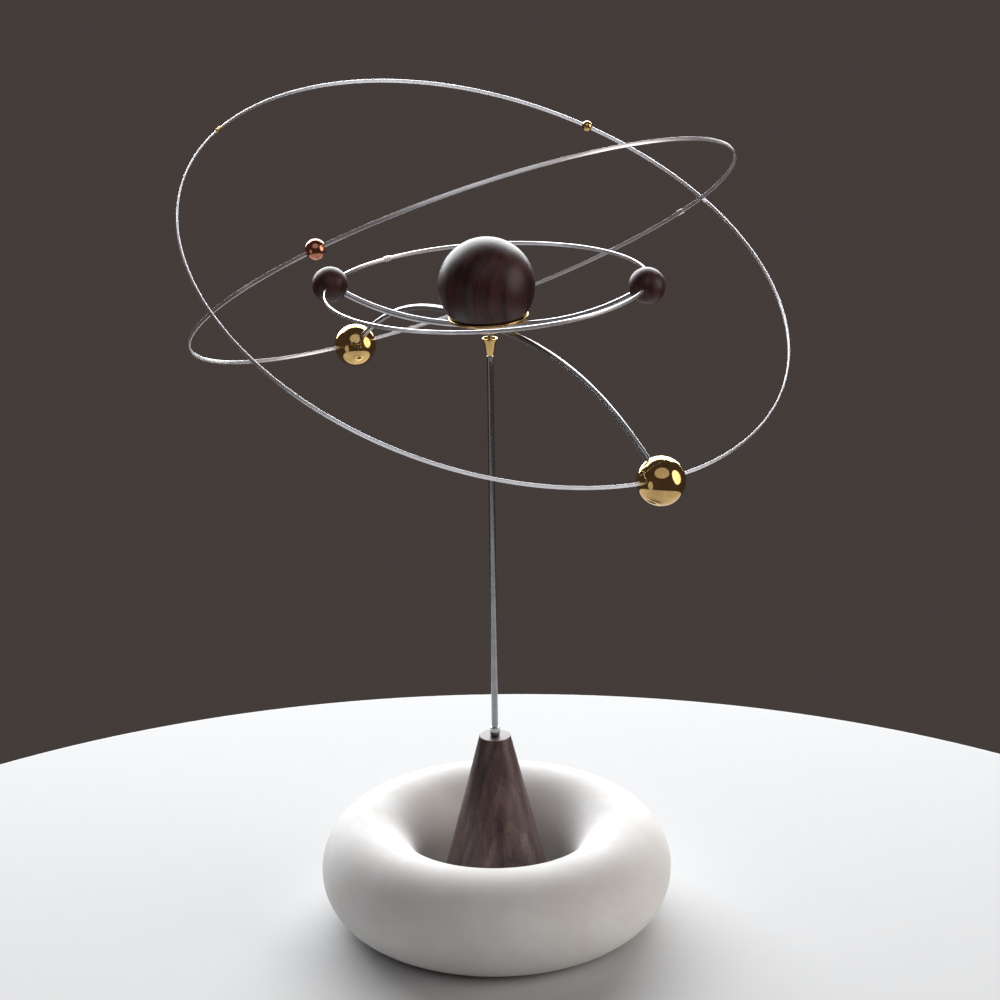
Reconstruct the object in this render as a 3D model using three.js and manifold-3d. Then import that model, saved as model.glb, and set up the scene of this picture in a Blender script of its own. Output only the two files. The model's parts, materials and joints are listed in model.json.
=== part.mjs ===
// Desk orrery: a walnut, brass and steel mobile balanced on a point above a white ring base.
// Millimetres, +Z up. The origin is the centre of the felt underside, on the rod's axis.
import * as THREE from 'three';
import { mergeVertices } from 'three/addons/utils/BufferGeometryUtils.js';
import Module from 'manifold-3d';

// Clearances
const GAP = 0.3;
const SLOT_CLEARANCE = 0.15;

// Base ring, felt and the screw that holds the cone
const FELT_RADIUS = 60;
const FELT_THICKNESS = 0.9;
const BASE_UNDERSIDE_Z = FELT_THICKNESS + GAP;
const RING_RADIUS = 55.5;
const RING_HALF_WIDTH = 21.2;
const RING_HALF_HEIGHT = 22.9;
const RING_CENTRE_Z = 22.9;
const WEB_TOP_Z = 8;
const SCREW_HOLE_RADIUS = 2.9;
const COUNTERBORE_RADIUS = 10.5;
const COUNTERBORE_TOP_Z = 5.3;
const WASHER_RADIUS = 9.6;
const WASHER_THICKNESS = 1.1;
const SCREW_RADIUS = 2.5;
const SCREW_HEAD_RADIUS = 5;
const SCREW_HEAD_HEIGHT = 2.1;
const SCREW_TOP_Z = 21;
const INSERT_RADIUS = 4.2;
const INSERT_TOP_Z = 20;

// Cone, rod and the cup on its top
const CONE_TOP_Z = 84.4;
const CONE_TOP_RADIUS = 6.75;
const CONE_FOOT_RADIUS = 25.7;
const CONE_FOOT_Z = WEB_TOP_Z + GAP;
const ROD_RADIUS = 1.4;
const ROD_FOOT_Z = 40;
const FERRULE_RADIUS = 2.1;
const FERRULE_HEIGHT = 3.8;
const SPIGOT_RADIUS = 0.85;
const SPIGOT_LENGTH = 2.4;
const CUP_FOOT_Z = 255;
const CUP_RIM_Z = 262.4;
const CUP_FOOT_RADIUS = 1.5;
const CUP_RIM_RADIUS = 3.3;
const CUP_MOUTH_RADIUS = 2.75;

// The point the mobile balances on, and how it hangs out of level
const PIVOT_Z = 260.9;
const LEAN_DEGREES = 3;
const LEAN_TOWARD_DEGREES = -150;
const SEAT_RADIUS = 1.35;
const NEEDLE_RADIUS = 0.9;

// Hub and sun, measured up from the pivot along the needle
const BOSS_RADIUS = 6.8;
const BOSS_FOOT = 5;
const DISC_FOOT = 10.3;
const DISC_THICKNESS = 1.1;
const DISC_RADIUS = 16.6;
const SPIGOT_TOP = 21.5;
const HUB_SPIGOT_RADIUS = 2;
const SUN_RADIUS = 20;
const SUN_HEIGHT = 23.9;
const HUB_SCREW_REACH = 9.5;
const HUB_SCREW_LENGTH = 8.5;

// Arms: small walnut moons on one pair, brass weights on the other
const ARM_RADIUS = 1.25;
const ARM_HEIGHT = 7.2;
const ARM_INNER_REACH = 4.3;
const MOON_DIRECTION_DEGREES = -12.5;
const MOON_REACH = 66.5;
const MOON_HEIGHT = 24;
const MOON_RADIUS = 7.55;
const MOON_ARM_CURVE = 2.5;
const WEIGHT_ARM_CURVE = 2.7;
// Their reach, bearing and radius are trimmed until the mobile balances in its leaning rest.
const FAR_WEIGHT = { bearing: 120.64, reach: 122.27, height: -29.6, radius: 9.5 };
const NEAR_WEIGHT = { bearing: -57.44, reach: 117.4, height: -29.4, radius: 9.676 };
const ARM_END_SHORT_OF_CENTRE = 2.6;

// Hoops of flat strip, and what rides on them
const STRIP_WIDTH = 1.5;
const STRIP_THICKNESS = 0.6;
const STRIP_ABOVE_CENTRE = 0.7;
const MID_HOOP_RADIUS = 119.2;
const MID_HOOP_BEARING_DEGREES = -58.5;
const MID_HOOP_RISE_DEGREES = 30.7;
const MID_HOOP_TWIST_DEGREES = -1;
const LARGE_HOOP_RADIUS = 128.4;
const LARGE_HOOP_BEARING_DEGREES = 123.1;
const LARGE_HOOP_RISE_DEGREES = 28.3;
const LARGE_HOOP_TWIST_DEGREES = -3.8;
const COPPER_BALL_RADIUS = 4;
const COPPER_BALL_DEGREES = 124.4;
const BRASS_BEAD_RADIUS = 2.4;
const BRASS_BEAD_DEGREES = 127.6;
const SLEEVE_LENGTH = 3;
const SLEEVE_WALL = 0.2;
const SMALL_SLEEVE_DEGREES = 142;
const MID_SLEEVE_DEGREES = -84;
const LARGE_SLEEVE_DEGREES = -147;

// Facets round each kind of solid
const HOOP_FACETS = 96;
const WIDE_FACETS = 48;
const SMALL_FACETS = 20;

const UP = new THREE.Vector3(0, 0, 1);
const group = new THREE.Group();
group.name = 'orrery';

const wasm = await Module();
wasm.setup();

const finishes = {
  walnut: { color: 0x4a2c1e, roughness: 0.55, metalness: 0 },
  plaster: { color: 0xf1efeb, roughness: 0.8, metalness: 0 },
  felt: { color: 0x3a3a3c, roughness: 1, metalness: 0 },
  steel: { color: 0xc4c8cc, roughness: 0.18, metalness: 1 },
  brass: { color: 0xc9a14a, roughness: 0.15, metalness: 1 },
  copper: { color: 0xb4653f, roughness: 0.18, metalness: 1 },
};

function add(name, geometry, finish) {
  const mesh = new THREE.Mesh(geometry, new THREE.MeshStandardMaterial(finishes[finish]));
  mesh.name = name;
  group.add(mesh);
}

// A solid of revolution about Z from [radius, height] pairs.
function turned(profile, facets = SMALL_FACETS) {
  const points = profile.map(([radius, height]) => new THREE.Vector2(radius, height));
  return new THREE.LatheGeometry(points, facets).rotateX(Math.PI / 2);
}

// A tube about Z between two heights.
function tube(outer, inner, low, high, facets = SMALL_FACETS) {
  return turned([[inner, low], [outer, low], [outer, high], [inner, high], [inner, low]], facets);
}

function peg(radius, low, high, facets = SMALL_FACETS) {
  return turned([[0, low], [radius, low], [radius, high], [0, high]], facets);
}

function ball(radius, facets) {
  const rows = Math.round(facets * 0.6);
  return new THREE.SphereGeometry(radius, facets, rows).rotateX(Math.PI / 2);
}

function toManifold(geometry) {
  const bare = geometry.clone();
  bare.deleteAttribute('normal');
  bare.deleteAttribute('uv');
  const welded = mergeVertices(bare, 1e-4);
  const corners = welded.index.array;
  const kept = [];
  for (let i = 0; i < corners.length; i += 3) {
    const [a, b, c] = [corners[i], corners[i + 1], corners[i + 2]];
    if (a !== b && b !== c && c !== a) {
      kept.push(a, b, c);
    }
  }
  const vertProperties = new Float32Array(welded.attributes.position.array);
  const triVerts = new Uint32Array(kept);
  return new wasm.Manifold(new wasm.Mesh({ numProp: 3, vertProperties, triVerts }));
}

function fromManifold(solid) {
  const mesh = solid.getMesh();
  const geometry = new THREE.BufferGeometry();
  geometry.setAttribute('position', new THREE.BufferAttribute(mesh.vertProperties, 3));
  geometry.setIndex(new THREE.BufferAttribute(mesh.triVerts, 1));
  return geometry;
}

function cut(geometry, tools) {
  let solid = toManifold(geometry);
  for (const tool of tools) {
    solid = solid.subtract(toManifold(tool));
  }
  return fromManifold(solid);
}

// ---- Base ----

function baseProfile() {
  const profile = [
    [SCREW_HOLE_RADIUS, COUNTERBORE_TOP_Z],
    [COUNTERBORE_RADIUS, COUNTERBORE_TOP_Z],
    [COUNTERBORE_RADIUS, BASE_UNDERSIDE_Z],
  ];
  const steps = 18;
  const start = Math.asin((BASE_UNDERSIDE_Z - RING_CENTRE_Z) / RING_HALF_HEIGHT);
  for (let i = 0; i <= steps; i += 1) {
    const angle = start + (i / steps) * (Math.PI - start);
    const radius = RING_RADIUS + RING_HALF_WIDTH * Math.cos(angle);
    profile.push([radius, RING_CENTRE_Z + RING_HALF_HEIGHT * Math.sin(angle)]);
  }
  const wall = RING_RADIUS - RING_HALF_WIDTH;
  profile.push([wall, WEB_TOP_Z + 2], [wall - 2, WEB_TOP_Z], [SCREW_HOLE_RADIUS, WEB_TOP_Z]);
  profile.push(profile[0]);
  return profile;
}

add('felt_pad', peg(FELT_RADIUS, 0, FELT_THICKNESS, WIDE_FACETS), 'felt');
add('base_ring', turned(baseProfile(), WIDE_FACETS), 'plaster');

const washerTop = COUNTERBORE_TOP_Z - GAP;
const headTop = washerTop - WASHER_THICKNESS - GAP;
const headFoot = headTop - SCREW_HEAD_HEIGHT;
const washer = tube(WASHER_RADIUS, SCREW_HOLE_RADIUS, washerTop - WASHER_THICKNESS, washerTop);
add('base_washer', washer, 'steel');

const screw = turned([
  [0, headFoot],
  [SCREW_HEAD_RADIUS - 0.5, headFoot],
  [SCREW_HEAD_RADIUS, headFoot + 0.6],
  [SCREW_HEAD_RADIUS, headTop],
  [SCREW_RADIUS, headTop],
  [SCREW_RADIUS, SCREW_TOP_Z - 1],
  [SCREW_RADIUS - 0.8, SCREW_TOP_Z],
  [0, SCREW_TOP_Z],
]);
const hexSocket = peg(2.3, headFoot - 1, headFoot + 1.4, 6);
add('base_screw', cut(screw, [hexSocket]), 'steel');
const insertFoot = CONE_FOOT_Z + GAP;
add('cone_insert', tube(INSERT_RADIUS, SCREW_HOLE_RADIUS, insertFoot, INSERT_TOP_Z), 'brass');

// ---- Cone and rod ----

add('cone', turned([
  [INSERT_RADIUS + GAP, CONE_FOOT_Z],
  [CONE_FOOT_RADIUS - 0.5, CONE_FOOT_Z],
  [CONE_FOOT_RADIUS, CONE_FOOT_Z + 0.5],
  [CONE_TOP_RADIUS, CONE_TOP_Z - 0.3],
  [CONE_TOP_RADIUS - 0.3, CONE_TOP_Z],
  [ROD_RADIUS + GAP, CONE_TOP_Z],
  [ROD_RADIUS + GAP, ROD_FOOT_Z - GAP],
  [0, ROD_FOOT_Z - GAP],
  [0, SCREW_TOP_Z + 2],
  [INSERT_RADIUS + GAP, SCREW_TOP_Z + 2],
  [INSERT_RADIUS + GAP, CONE_FOOT_Z],
], WIDE_FACETS), 'walnut');

const ferruleFoot = CONE_TOP_Z + GAP;
const ferruleTop = ferruleFoot + FERRULE_HEIGHT;
add('rod_ferrule', turned([
  [ROD_RADIUS + GAP, ferruleFoot],
  [FERRULE_RADIUS, ferruleFoot],
  [FERRULE_RADIUS, ferruleTop - 0.2],
  [FERRULE_RADIUS - 0.2, ferruleTop],
  [ROD_RADIUS + GAP, ferruleTop],
  [ROD_RADIUS + GAP, ferruleFoot],
]), 'steel');

const rodShoulder = CUP_FOOT_Z - GAP;
add('rod', turned([
  [0, ROD_FOOT_Z],
  [ROD_RADIUS - 0.3, ROD_FOOT_Z],
  [ROD_RADIUS, ROD_FOOT_Z + 0.3],
  [ROD_RADIUS, rodShoulder],
  [SPIGOT_RADIUS, rodShoulder],
  [SPIGOT_RADIUS, rodShoulder + SPIGOT_LENGTH],
  [0, rodShoulder + SPIGOT_LENGTH],
]), 'steel');

// The cup flares to its rim. Inside, a round pocket holds the seat and opens in a cone above it.
function cupProfile() {
  const pocket = SEAT_RADIUS + GAP;
  const socketTop = rodShoulder + SPIGOT_LENGTH + GAP;
  const profile = [
    [0, socketTop],
    [SPIGOT_RADIUS + GAP, socketTop],
    [SPIGOT_RADIUS + GAP, CUP_FOOT_Z],
    [CUP_FOOT_RADIUS, CUP_FOOT_Z],
    [CUP_RIM_RADIUS - 0.25, CUP_RIM_Z - 0.9],
    [CUP_RIM_RADIUS, CUP_RIM_Z - 0.45],
    [CUP_RIM_RADIUS, CUP_RIM_Z - 0.15],
    [CUP_RIM_RADIUS - 0.15, CUP_RIM_Z],
    [CUP_MOUTH_RADIUS, CUP_RIM_Z],
  ];
  const steps = 5;
  for (let i = 0; i <= steps; i += 1) {
    const angle = (i / steps) * (Math.PI / 2);
    profile.push([pocket * Math.cos(angle), PIVOT_Z - pocket * Math.sin(angle)]);
  }
  profile[profile.length - 1][0] = 0;
  return profile;
}

add('bearing_cup', turned(cupProfile(), 28), 'brass');

// ---- Pivot ----

// The seat is a ball segment, dished on top, centred on the pivot so it can rock in its pocket.
function seatProfile() {
  const steps = 6;
  const rim = Math.asin(0.5 / SEAT_RADIUS);
  const profile = [];
  for (let i = 0; i <= steps; i += 1) {
    const angle = -Math.PI / 2 + (i / steps) * (rim + Math.PI / 2);
    profile.push([SEAT_RADIUS * Math.cos(angle), SEAT_RADIUS * Math.sin(angle)]);
  }
  profile[0][0] = 0;
  profile.push([0.85, 0.5], [0, -0.35]);
  return profile;
}

add('pivot_seat', turned(seatProfile()).translate(0, 0, PIVOT_Z), 'steel');

const radians = THREE.MathUtils.degToRad;

function direction(degrees, riseDegrees = 0) {
  const flat = Math.cos(radians(riseDegrees));
  const x = flat * Math.cos(radians(degrees));
  const y = flat * Math.sin(radians(degrees));
  return new THREE.Vector3(x, y, Math.sin(radians(riseDegrees)));
}

const leanAxis = UP.clone().cross(direction(LEAN_TOWARD_DEGREES));
const lean = new THREE.Matrix4().makeRotationAxis(leanAxis, radians(LEAN_DEGREES));
const onPivot = new THREE.Matrix4().makeTranslation(0, 0, PIVOT_Z).multiply(lean);

// Everything on the mobile is drawn level about the pivot, then set down leaning on it.
function addToMobile(name, geometry, finish) {
  add(name, geometry.applyMatrix4(onPivot), finish);
}

const needleTop = 9.3;
addToMobile('needle', turned([
  [0, 0.05],
  [0.12, 0.05],
  [NEEDLE_RADIUS, 1.95],
  [NEEDLE_RADIUS, needleTop - 0.2],
  [NEEDLE_RADIUS - 0.2, needleTop],
  [0, needleTop],
], 24), 'steel');

// ---- Arms ----

// A round rod that leaves the hub level and curves to its end by the given power of the reach.
class ArmCurve extends THREE.Curve {
  constructor(bearing, reach, height, power, startReach, endReach) {
    super();
    Object.assign(this, { bearing, reach, height, power, startReach, endReach });
  }

  getPoint(t, target = new THREE.Vector3()) {
    const along = this.startReach + t * (this.endReach - this.startReach);
    const rise = (this.height - ARM_HEIGHT) * (along / this.reach) ** this.power;
    return target.copy(direction(this.bearing)).multiplyScalar(along).setZ(ARM_HEIGHT + rise);
  }
}

function circleShape(radius, corners) {
  const points = [];
  for (let i = 0; i < corners; i += 1) {
    const angle = (i / corners) * 2 * Math.PI;
    points.push(new THREE.Vector2(radius * Math.cos(angle), radius * Math.sin(angle)));
  }
  return new THREE.Shape(points);
}

function swept(curve, radius, corners, steps) {
  const options = { steps, bevelEnabled: false, extrudePath: curve };
  return new THREE.ExtrudeGeometry(circleShape(radius, corners), options);
}

function arm(spec, radius, startReach, endReach, steps) {
  const { bearing, reach, height, power } = spec;
  const curve = new ArmCurve(bearing, reach, height, power, startReach, endReach);
  return swept(curve, radius, 12, steps);
}

const moonArm = { reach: MOON_REACH, height: MOON_HEIGHT, power: MOON_ARM_CURVE };
const arms = {
  arm_moon_left: { ...moonArm, bearing: MOON_DIRECTION_DEGREES + 180 },
  arm_moon_right: { ...moonArm, bearing: MOON_DIRECTION_DEGREES },
  arm_weight_far: { ...FAR_WEIGHT, power: WEIGHT_ARM_CURVE },
  arm_weight_near: { ...NEAR_WEIGHT, power: WEIGHT_ARM_CURVE },
};

for (const [name, spec] of Object.entries(arms)) {
  const end = spec.reach - ARM_END_SHORT_OF_CENTRE;
  addToMobile(name, arm(spec, ARM_RADIUS, ARM_INNER_REACH, end, 14), 'steel');
}

// ---- Hub and sun ----

const discTop = DISC_FOOT + DISC_THICKNESS;
const sunFoot = discTop + GAP;
const hub = turned([
  [NEEDLE_RADIUS + 0.1, BOSS_FOOT],
  [BOSS_RADIUS - 0.4, BOSS_FOOT],
  [BOSS_RADIUS, BOSS_FOOT + 0.4],
  [BOSS_RADIUS, DISC_FOOT - 0.6],
  [BOSS_RADIUS + 0.6, DISC_FOOT],
  [DISC_RADIUS - 0.2, DISC_FOOT],
  [DISC_RADIUS, DISC_FOOT + 0.3],
  [DISC_RADIUS, discTop - 0.3],
  [DISC_RADIUS - 0.2, discTop],
  [HUB_SPIGOT_RADIUS, discTop],
  [HUB_SPIGOT_RADIUS, SPIGOT_TOP],
  [0, SPIGOT_TOP],
  [0, needleTop + 0.1],
  [NEEDLE_RADIUS + 0.1, needleTop + 0.1],
  [NEEDLE_RADIUS + 0.1, BOSS_FOOT],
], WIDE_FACETS);

const armSockets = Object.values(arms).map(
  (spec) => arm(spec, ARM_RADIUS + SLOT_CLEARANCE, ARM_INNER_REACH - 0.3, BOSS_RADIUS + 2, 2));

// Two countersunk screws hold the sun down on the disc.
const hubScrews = [1, -1].map((side) => side * HUB_SCREW_REACH);

function hubScrew(reach) {
  return turned([
    [0, DISC_FOOT + 0.1],
    [1.9, DISC_FOOT + 0.1],
    [0.9, discTop],
    [0.9, discTop + HUB_SCREW_LENGTH - 1.5],
    [0, discTop + HUB_SCREW_LENGTH],
  ], 16).translate(reach, 0, 0);
}

function countersink(reach) {
  return turned([
    [0, DISC_FOOT - 1],
    [2.3, DISC_FOOT - 1],
    [2.3, DISC_FOOT + 0.2],
    [1.25, discTop + 0.05],
    [1.25, discTop + 1],
    [0, discTop + 1],
  ], 16).translate(reach, 0, 0);
}

addToMobile('hub', cut(hub, [...armSockets, ...hubScrews.map(countersink)]), 'brass');
addToMobile('hub_screw_right', hubScrew(hubScrews[0]), 'steel');
addToMobile('hub_screw_left', hubScrew(hubScrews[1]), 'steel');

function sunProfile() {
  const steps = 16;
  const start = Math.asin((sunFoot - SUN_HEIGHT) / SUN_RADIUS);
  const bore = HUB_SPIGOT_RADIUS + GAP;
  const profile = [[0, SPIGOT_TOP + GAP], [bore, SPIGOT_TOP + GAP], [bore, sunFoot]];
  for (let i = 0; i <= steps; i += 1) {
    const angle = start + (i / steps) * (Math.PI / 2 - start);
    profile.push([SUN_RADIUS * Math.cos(angle), SUN_HEIGHT + SUN_RADIUS * Math.sin(angle)]);
  }
  profile[profile.length - 1][0] = 0;
  return profile;
}

const pilotHoles = hubScrews.map(
  (reach) => peg(1.2, sunFoot - 1, discTop + HUB_SCREW_LENGTH + 0.5, 12).translate(reach, 0, 0));
addToMobile('sun', cut(turned(sunProfile(), 36), pilotHoles), 'walnut');

// ---- Hoops and the balls they pass through ----

function armEnd(spec) {
  return direction(spec.bearing).multiplyScalar(spec.reach).setZ(spec.height);
}

// A hoop's frame: X points from its centre to the ball that carries it and Z along its axis.
function hoopFrame(carrier, radius, bearing, riseDegrees, twistDegrees) {
  const inward = direction(bearing, riseDegrees);
  const level = UP.clone().cross(inward).normalize();
  const axis = inward.clone().cross(level).applyAxisAngle(inward, radians(-twistDegrees));
  const outward = inward.clone().negate();
  const centre = carrier.clone().addScaledVector(inward, radius);
  centre.addScaledVector(axis, STRIP_ABOVE_CENTRE);
  const side = axis.clone().cross(outward);
  return new THREE.Matrix4().makeBasis(outward, side, axis).setPosition(centre);
}

const moonCentre = new THREE.Vector3(0, 0, MOON_HEIGHT);
const moonDirection = direction(MOON_DIRECTION_DEGREES);
const hoops = {
  small: {
    radius: MOON_REACH,
    frame: new THREE.Matrix4()
      .makeBasis(moonDirection, UP.clone().cross(moonDirection), UP)
      .setPosition(moonCentre),
    sleeveDegrees: SMALL_SLEEVE_DEGREES,
    sleeveFinish: 'steel',
  },
  mid: {
    radius: MID_HOOP_RADIUS,
    frame: hoopFrame(armEnd(arms.arm_weight_far), MID_HOOP_RADIUS,
      MID_HOOP_BEARING_DEGREES, MID_HOOP_RISE_DEGREES, MID_HOOP_TWIST_DEGREES),
    sleeveDegrees: MID_SLEEVE_DEGREES,
    sleeveFinish: 'steel',
  },
  large: {
    radius: LARGE_HOOP_RADIUS,
    frame: hoopFrame(armEnd(arms.arm_weight_near), LARGE_HOOP_RADIUS,
      LARGE_HOOP_BEARING_DEGREES, LARGE_HOOP_RISE_DEGREES, LARGE_HOOP_TWIST_DEGREES),
    sleeveDegrees: LARGE_SLEEVE_DEGREES,
    sleeveFinish: 'brass',
  },
};

// The strip of a hoop in the mobile's frame, grown all round by a clearance.
function strip(hoop, clearance = 0) {
  const halfWidth = STRIP_WIDTH / 2 + clearance;
  const halfThickness = STRIP_THICKNESS / 2 + clearance;
  const inner = hoop.radius - halfThickness;
  const outer = hoop.radius + halfThickness;
  return tube(outer, inner, -halfWidth, halfWidth, HOOP_FACETS).applyMatrix4(hoop.frame);
}

function onHoop(geometry, hoop, degrees) {
  const place = new THREE.Matrix4().makeRotationZ(radians(degrees));
  place.multiply(new THREE.Matrix4().makeTranslation(hoop.radius, 0, 0));
  return geometry.applyMatrix4(place).applyMatrix4(hoop.frame);
}

function sleeve(hoop) {
  const thickness = STRIP_THICKNESS + 2 * (SLOT_CLEARANCE + SLEEVE_WALL);
  const width = STRIP_WIDTH + 2 * (SLOT_CLEARANCE + SLEEVE_WALL);
  const block = new THREE.BoxGeometry(thickness, SLEEVE_LENGTH, width);
  return cut(onHoop(block, hoop, hoop.sleeveDegrees), [strip(hoop, SLOT_CLEARANCE)]);
}

for (const [size, hoop] of Object.entries(hoops)) {
  addToMobile(`hoop_${size}`, strip(hoop), 'steel');
  addToMobile(`hoop_${size}_sleeve`, sleeve(hoop), hoop.sleeveFinish);
}

function carrierBall(radius, facets, spec, hoop, extraTools = []) {
  const end = spec.reach - ARM_END_SHORT_OF_CENTRE + GAP;
  const bore = arm(spec, ARM_RADIUS + SLOT_CLEARANCE, spec.reach - radius - 4, end, 3);
  const centre = armEnd(spec);
  const whole = ball(radius, facets).translate(centre.x, centre.y, centre.z);
  return cut(whole, [bore, strip(hoop, SLOT_CLEARANCE), ...extraTools]);
}

for (const side of ['left', 'right']) {
  const moon = carrierBall(MOON_RADIUS, 20, arms[`arm_moon_${side}`], hoops.small);
  addToMobile(`moon_${side}`, moon, 'walnut');
}

// A grub screw under each weight locks it on its arm.
function grubScrew(spec) {
  const centre = armEnd(spec);
  const screwBody = peg(1, -spec.radius + 0.5, -spec.radius + 4, 12);
  const socket = peg(0.55, -spec.radius - 1, -spec.radius + 1.6, 6);
  return cut(screwBody, [socket]).translate(centre.x, centre.y, centre.z);
}

for (const [place, size] of [['far', 'mid'], ['near', 'large']]) {
  const spec = arms[`arm_weight_${place}`];
  const centre = armEnd(spec);
  const pocket = peg(1.3, -spec.radius - 1, -spec.radius + 4.3, 12);
  pocket.translate(centre.x, centre.y, centre.z);
  const weight = carrierBall(spec.radius, 24, spec, hoops[size], [pocket]);
  addToMobile(`weight_${place}`, weight, 'brass');
  addToMobile(`weight_${place}_grub_screw`, grubScrew(spec), 'steel');
}

function rider(radius, facets, hoop, degrees) {
  return cut(onHoop(ball(radius, facets), hoop, degrees), [strip(hoop, SLOT_CLEARANCE)]);
}

const copperBall = rider(COPPER_BALL_RADIUS, 20, hoops.mid, COPPER_BALL_DEGREES);
addToMobile('copper_ball', copperBall, 'copper');
const brassBead = rider(BRASS_BEAD_RADIUS, 16, hoops.large, BRASS_BEAD_DEGREES);
addToMobile('brass_bead', brassBead, 'brass');

export default group;
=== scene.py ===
"""Looks of the desk orrery: fine meshes, procedural materials, a pale round floor, soft light and the camera.

Lengths in the dimension tables are millimetres, as in the CAD source. Objects are made in metres.
"""

import json
import math

import bmesh
import bpy
from mathutils import Matrix, Vector


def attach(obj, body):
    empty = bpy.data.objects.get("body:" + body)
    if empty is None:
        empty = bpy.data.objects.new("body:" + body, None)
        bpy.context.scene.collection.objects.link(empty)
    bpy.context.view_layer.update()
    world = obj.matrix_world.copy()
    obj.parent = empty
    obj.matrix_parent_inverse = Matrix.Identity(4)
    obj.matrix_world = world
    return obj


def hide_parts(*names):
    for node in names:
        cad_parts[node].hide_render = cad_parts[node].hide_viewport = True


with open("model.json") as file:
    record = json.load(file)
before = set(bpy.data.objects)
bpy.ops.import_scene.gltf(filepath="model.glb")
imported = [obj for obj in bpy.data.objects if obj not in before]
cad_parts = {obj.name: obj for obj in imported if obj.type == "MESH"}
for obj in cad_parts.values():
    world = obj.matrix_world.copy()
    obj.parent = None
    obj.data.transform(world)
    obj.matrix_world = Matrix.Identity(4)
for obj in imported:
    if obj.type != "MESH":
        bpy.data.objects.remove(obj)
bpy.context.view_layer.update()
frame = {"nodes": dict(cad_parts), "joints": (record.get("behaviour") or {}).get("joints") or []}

MM = 0.001
UP = Vector((0, 0, 1))

# ---- Dimensions repeated from the CAD source ----

GAP = 0.3
SLOT_CLEARANCE = 0.15
PRESS_FIT = 0.06
NEEDLE_CLEARANCE = 0.1

FELT_RADIUS = 60
FELT_THICKNESS = 0.9
BASE_UNDERSIDE_Z = FELT_THICKNESS + GAP
RING_RADIUS = 55.5
RING_HALF_WIDTH = 21.2
RING_HALF_HEIGHT = 22.9
RING_CENTRE_Z = 22.9
WEB_TOP_Z = 8
SCREW_HOLE_RADIUS = 2.9
COUNTERBORE_RADIUS = 10.5
COUNTERBORE_TOP_Z = 5.3

CONE_TOP_Z = 84.4
CONE_TOP_RADIUS = 6.75
CONE_FOOT_RADIUS = 25.7
CONE_FOOT_Z = WEB_TOP_Z + GAP
INSERT_RADIUS = 4.2
SCREW_TOP_Z = 21
ROD_RADIUS = 1.4
ROD_FOOT_Z = 40
FERRULE_RADIUS = 2.1
FERRULE_HEIGHT = 3.8
SPIGOT_RADIUS = 0.85
SPIGOT_LENGTH = 2.4
CUP_FOOT_Z = 255
CUP_RIM_Z = 262.4
CUP_FOOT_RADIUS = 1.5
CUP_RIM_RADIUS = 3.3
CUP_MOUTH_RADIUS = 2.75
SEAT_RADIUS = 1.35
NEEDLE_RADIUS = 0.9
NEEDLE_TOP = 9.3

BOSS_RADIUS = 6.8
BOSS_FOOT = 5
DISC_FOOT = 10.3
DISC_THICKNESS = 1.1
DISC_TOP = DISC_FOOT + DISC_THICKNESS
DISC_RADIUS = 16.6
SPIGOT_TOP = 21.5
HUB_SPIGOT_RADIUS = 2
SUN_RADIUS = 20
SUN_HEIGHT = 23.9
SUN_FOOT = DISC_TOP + GAP
HUB_SCREW_REACH = 9.5
HUB_SCREW_LENGTH = 8.5

ARM_RADIUS = 1.25
ARM_HEIGHT = 7.2
ARM_INNER_REACH = 4.3
ARM_END_SHORT_OF_CENTRE = 2.6
MOON_DIRECTION_DEGREES = -12.5
MOON_REACH = 66.5
MOON_HEIGHT = 24
MOON_RADIUS = 7.55
MOON_ARM_CURVE = 2.5
WEIGHT_ARM_CURVE = 2.7
FAR_WEIGHT = {"bearing": 120.64, "reach": 122.27, "height": -29.6, "radius": 9.5}
NEAR_WEIGHT = {"bearing": -57.44, "reach": 117.4, "height": -29.4, "radius": 9.676}

STRIP_WIDTH = 1.5
STRIP_THICKNESS = 0.6
STRIP_ABOVE_CENTRE = 0.7
MID_HOOP_RADIUS = 119.2
MID_HOOP_BEARING_DEGREES = -58.5
MID_HOOP_RISE_DEGREES = 30.7
MID_HOOP_TWIST_DEGREES = -1
LARGE_HOOP_RADIUS = 128.4
LARGE_HOOP_BEARING_DEGREES = 123.1
LARGE_HOOP_RISE_DEGREES = 28.3
LARGE_HOOP_TWIST_DEGREES = -3.8
COPPER_BALL_RADIUS = 4
COPPER_BALL_DEGREES = 124.4
BRASS_BEAD_RADIUS = 2.4
BRASS_BEAD_DEGREES = 127.6
SLEEVE_LENGTH = 3
SLEEVE_WALL = 0.2
SMALL_SLEEVE_DEGREES = 142
MID_SLEEVE_DEGREES = -84
LARGE_SLEEVE_DEGREES = -147

# The mobile is drawn level about its pivot and then set on it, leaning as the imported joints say.
joints = {joint["name"]: joint for joint in frame["joints"]}
pivot = Vector(joints["mobile_spin"]["pos_m"]) / MM
spin_axis = Vector(joints["mobile_spin"]["axis"]).normalized()
ON_PIVOT = Matrix.Translation(pivot) @ UP.rotation_difference(spin_axis).to_matrix().to_4x4()
PIVOT_Z = pivot.z

# ---- Materials ----


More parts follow.
